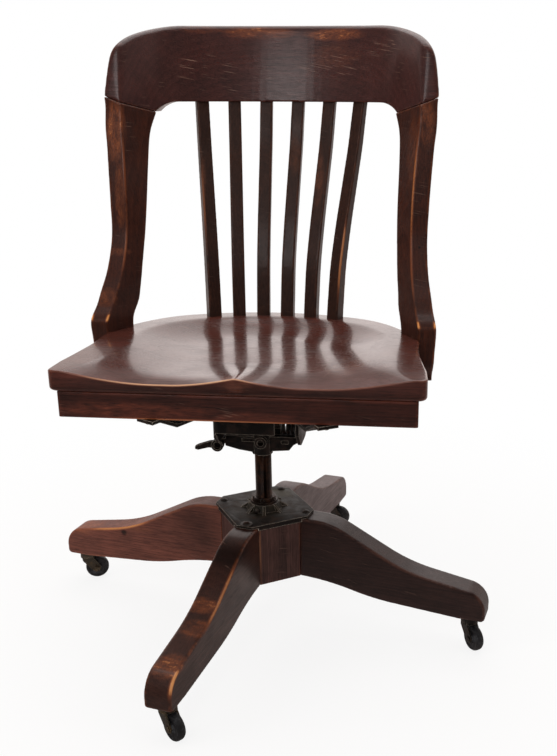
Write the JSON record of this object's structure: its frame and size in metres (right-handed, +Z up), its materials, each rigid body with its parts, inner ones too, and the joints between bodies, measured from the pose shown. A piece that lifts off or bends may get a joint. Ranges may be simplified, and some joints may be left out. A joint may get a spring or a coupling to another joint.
{
  "type": "bankers swivel chair",
  "caption": "Wooden swivel desk chair with saddle seat, slatted curved back, sprung tilt mechanism, screw height spindle and four-legged caster base.",
  "frame": {"origin": "on the floor, on the spindle's vertical axis", "axes": "+Z up, the seat's front towards -Y, +X to the right as seen from the front"},
  "size_m": [0.717, 0.717, 0.9195],
  "materials": {
    "seat_wood": "satin varnish, worn",
    "frame_wood": "satin varnish, worn arrises",
    "apron_wood": "satin varnish, rubbed",
    "leg_wood": "dull varnish, scuffed",
    "plug_wood": "satin varnish",
    "black_iron": "old japanned black",
    "worn_steel": "aged, spots of rust",
    "spring_steel": "oil blackened",
    "screw_steel": "aged",
    "caster_steel": "tarnished",
    "wheel_composition": "worn, dusty"
  },
  "bodies": {
    "base": {"hub_block": "leg_wood", "leg_right": "leg_wood", "leg_rear": "leg_wood", "leg_left": "leg_wood", "leg_front": "leg_wood", "leg_dowels": "plug_wood", "base_casting": "black_iron", "set_screw": "screw_steel", "plate_screws": "screw_steel", "plate_washer": "screw_steel", "caster_sockets": "screw_steel"},
    "swivel": {"swivel_sleeve": "worn_steel"},
    "nut": {"height_nut": "worn_steel"},
    "column": {"spindle": "worn_steel", "tilt_yoke": "black_iron", "spindle_lock_screw": "screw_steel", "torsion_spring_left": "spring_steel", "torsion_spring_right": "spring_steel"},
    "lock_lever": {"tilt_lock_lever": "black_iron"},
    "seat": {"seat_board": "seat_wood", "apron_front": "apron_wood", "apron_left": "apron_wood", "apron_right": "apron_wood", "apron_rear": "apron_wood", "back_post_left": "frame_wood", "back_post_right": "frame_wood", "crest_rail": "frame_wood", "slat_1": "frame_wood", "slat_2": "frame_wood", "slat_3": "frame_wood", "slat_4": "frame_wood", "slat_5": "frame_wood", "slat_6": "frame_wood", "post_screws": "screw_steel", "post_plugs": "plug_wood", "seat_arm_left": "black_iron", "seat_arm_right": "black_iron", "seat_arm_screws": "screw_steel", "tilt_housing": "black_iron", "housing_bolts": "worn_steel", "tilt_shaft": "worn_steel", "shaft_nuts": "worn_steel"},
    "caster_right": {"caster_horn_right": "caster_steel", "caster_stem_right": "caster_steel", "caster_axle_right": "caster_steel"},
    "wheel_right": {"caster_wheel_right": "wheel_composition"},
    "caster_rear": {"caster_horn_rear": "caster_steel", "caster_stem_rear": "caster_steel", "caster_axle_rear": "caster_steel"},
    "wheel_rear": {"caster_wheel_rear": "wheel_composition"},
    "caster_left": {"caster_horn_left": "caster_steel", "caster_stem_left": "caster_steel", "caster_axle_left": "caster_steel"},
    "wheel_left": {"caster_wheel_left": "wheel_composition"},
    "caster_front": {"caster_horn_front": "caster_steel", "caster_stem_front": "caster_steel", "caster_axle_front": "caster_steel"},
    "wheel_front": {"caster_wheel_front": "wheel_composition"}
  },
  "joints": [
    {"name": "seat_swivel", "type": "hinge", "parent": "base", "child": "swivel", "pos_m": [0, 0, 0.196], "axis": [0, 0, 1], "continuous": true},
    {"name": "height_adjust", "type": "slide", "parent": "swivel", "child": "column", "axis": [0, 0, 1], "range_m": [0, 0.075]},
    {"name": "nut_turn", "type": "hinge", "parent": "swivel", "child": "nut", "pos_m": [0, 0, 0.202], "axis": [0, 0, 1], "continuous": true},
    {"name": "seat_tilt", "type": "hinge", "parent": "column", "child": "seat", "pos_m": [0, 0.008, 0.332], "axis": [-1, 0, 0], "range_deg": [0, 18], "stiffness_Nm_per_rad": 80, "springref_deg": -8.59, "deforming": ["torsion_spring_left", "torsion_spring_right"]},
    {"name": "lock_lever_turn", "type": "hinge", "parent": "column", "child": "lock_lever", "pos_m": [-0.068, -0.01, 0.2944], "axis": [0, 1, 0], "range_deg": [0, 35]},
    {"name": "caster_swivel_right", "type": "hinge", "parent": "base", "child": "caster_right", "pos_m": [0.32915, -0.07684, 0.0502], "axis": [0, 0, 1], "continuous": true},
    {"name": "wheel_spin_right", "type": "hinge", "parent": "caster_right", "child": "wheel_right", "pos_m": [0.33657, -0.08871, 0.0195], "axis": [0.848, 0.5299, 0], "continuous": true},
    {"name": "caster_swivel_rear", "type": "hinge", "parent": "base", "child": "caster_rear", "pos_m": [0.07684, 0.32915, 0.0502], "axis": [0, 0, 1], "continuous": true},
    {"name": "wheel_spin_rear", "type": "hinge", "parent": "caster_rear", "child": "wheel_rear", "pos_m": [0.09036, 0.32553, 0.0195], "axis": [0.2588, 0.9659, 0], "continuous": true},
    {"name": "caster_swivel_left", "type": "hinge", "parent": "base", "child": "caster_left", "pos_m": [-0.32915, 0.07684, 0.0502], "axis": [0, 0, 1], "continuous": true},
    {"name": "wheel_spin_left", "type": "hinge", "parent": "caster_left", "child": "wheel_left", "pos_m": [-0.316, 0.08163, 0.0195], "axis": [-0.342, 0.9397, 0], "continuous": true},
    {"name": "caster_swivel_front", "type": "hinge", "parent": "base", "child": "caster_front", "pos_m": [-0.07684, -0.32915, 0.0502], "axis": [0, 0, 1], "continuous": true},
    {"name": "wheel_spin_front", "type": "hinge", "parent": "caster_front", "child": "wheel_front", "pos_m": [-0.06643, -0.33852, 0.0195], "axis": [0.6691, 0.7431, 0], "continuous": true}
  ],
  "couplings": [
    {"joint": "nut_turn", "follows": "height_adjust", "rad_per_m": -989.48}
  ]
}
